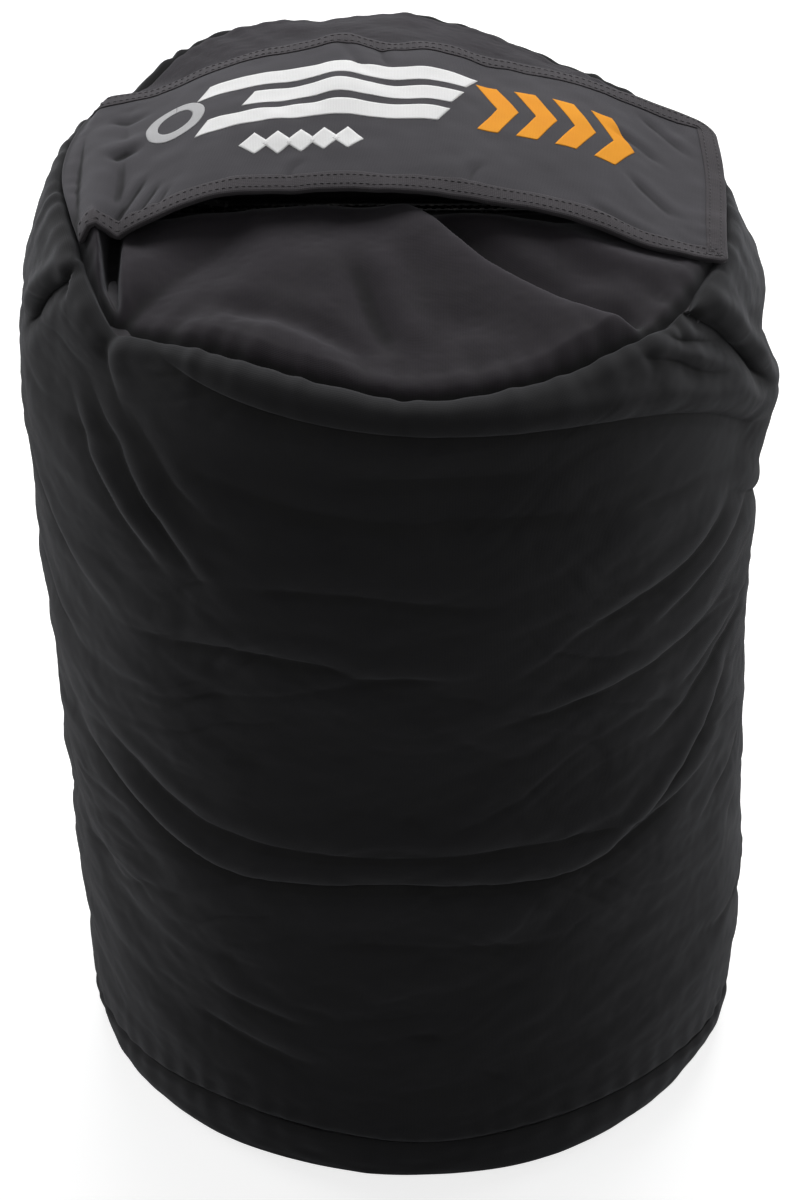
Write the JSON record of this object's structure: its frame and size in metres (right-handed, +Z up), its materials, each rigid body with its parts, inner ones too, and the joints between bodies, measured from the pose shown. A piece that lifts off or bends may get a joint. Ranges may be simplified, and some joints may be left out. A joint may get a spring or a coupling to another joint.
{
  "type": "sandbag trainer",
  "caption": "Tall cylindrical strength-training sandbag in black cloth, with a slack zipped top and a bound flap over the filling mouth that lifts at one end.",
  "frame": {"origin": "middle of the flat face that the bag stands on, at floor level", "axes": "+Z up along the bag, +X along the flap from its sewn end to its free end, -Y towards the front, where the top dips"},
  "size_m": [0.431, 0.431, 0.635],
  "materials": {
    "body_cloth": "heavy woven nylon, matt black",
    "flap_cloth": "woven nylon, worn charcoal",
    "binding_tape": "woven polyester tape, matt",
    "hook_tape": "hook and loop tape",
    "zip_metal": "black coated",
    "liner_film": "woven film",
    "tie_plastic": "moulded nylon",
    "sand": "dry sand"
  },
  "bodies": {
    "bag": {"side_wall": "body_cloth", "base_panel": "body_cloth", "base_seam_tape": "binding_tape", "rim_seam_tape": "binding_tape", "top_panel_front": "body_cloth", "top_panel_back": "body_cloth", "zip_tape_front": "binding_tape", "zip_tape_back": "binding_tape", "zip_teeth_front": "zip_metal", "zip_teeth_back": "zip_metal", "zip_top_stop_front": "zip_metal", "zip_top_stop_back": "zip_metal", "zip_bottom_stop": "zip_metal", "flap_root": "flap_cloth", "loop_tape": "hook_tape", "liner_bag": "liner_film", "liner_tie": "tie_plastic", "sand_fill": "sand"},
    "flap": {"flap_outer_cloth": "flap_cloth", "flap_lining": "flap_cloth", "flap_binding": "binding_tape", "hook_tape": "hook_tape"},
    "slider": {"zip_slider": "zip_metal"},
    "pull": {"zip_pull": "zip_metal"}
  },
  "joints": [
    {"name": "flap_hinge", "type": "hinge", "parent": "bag", "child": "flap", "pos_m": [-0.182, 0, 0.588], "axis": [0, -0.9908, -0.1356], "range_deg": [0, 150]},
    {"name": "zip_slide", "type": "slide", "parent": "bag", "child": "slider", "axis": [1, 0, 0], "range_m": [0, 0.188]},
    {"name": "pull_hinge", "type": "hinge", "parent": "slider", "child": "pull", "pos_m": [-0.1314, 0, 0.56515], "axis": [0, -1, 0], "range_deg": [0, 110]}
  ]
}
